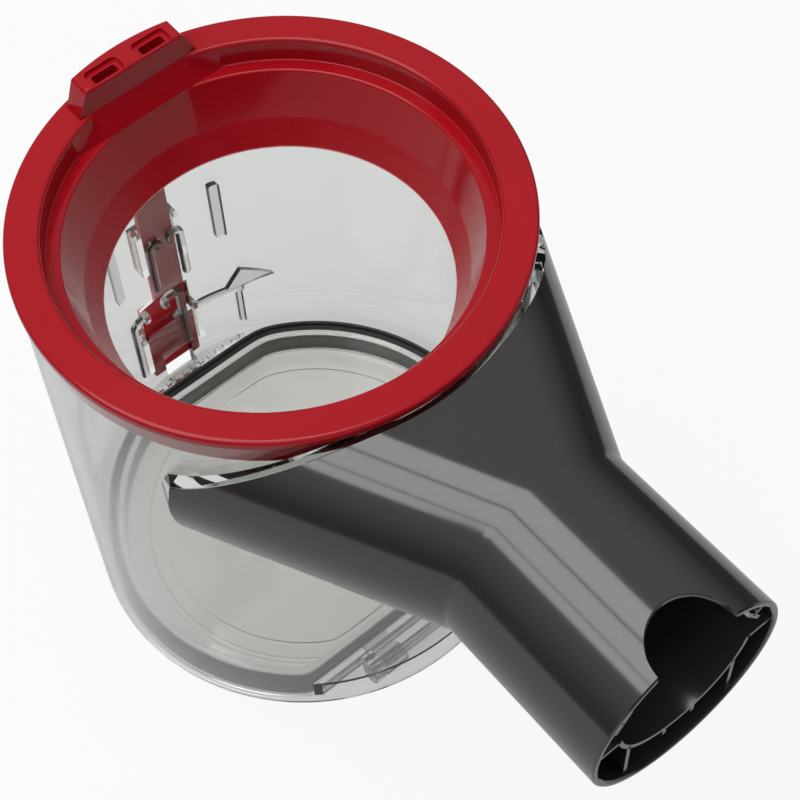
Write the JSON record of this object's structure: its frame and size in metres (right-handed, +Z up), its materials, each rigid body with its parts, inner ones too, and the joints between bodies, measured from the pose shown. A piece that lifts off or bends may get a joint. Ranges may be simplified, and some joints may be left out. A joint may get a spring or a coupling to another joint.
{
  "type": "cyclone dust bin",
  "caption": "Clear cylindrical dust bin with a red collar and tab, a grey inlet nozzle on one side and a sealed base flap on a pin hinge, released by a red slider.",
  "frame": {"origin": "on the bin's axis, in the plane of the clear wall's lower edge", "axes": "+Z up along the bin's axis, -Y along the inlet tube towards its mouth, +Y towards the catch, +X to the right seen from the mouth"},
  "size_m": [0.108, 0.1801, 0.1283],
  "materials": {
    "clear_plastic": "clear polished moulding",
    "red_plastic": "glossy moulded",
    "red_silicone": "smooth soft moulding",
    "grey_metallic_plastic": "dark metallic paint on plastic",
    "black_rubber": "moulded rubber",
    "pin_steel": "drawn wire"
  },
  "bodies": {
    "bin": {"bin_body": "clear_plastic", "collar": "red_plastic", "wiper_lip": "red_silicone", "inlet_nozzle": "grey_metallic_plastic", "hinge_pin": "pin_steel"},
    "flap": {"base_flap": "clear_plastic", "flap_seal": "black_rubber"},
    "slider": {"catch_slider": "red_plastic"}
  },
  "joints": [
    {"name": "flap_hinge", "type": "hinge", "parent": "bin", "child": "flap", "pos_m": [0, -0.0451, 0.003], "axis": [-1, 0, 0], "range_deg": [0, 95]},
    {"name": "catch_slide", "type": "slide", "parent": "bin", "child": "slider", "axis": [0, 0, -1], "range_m": [0, 0.006]}
  ]
}
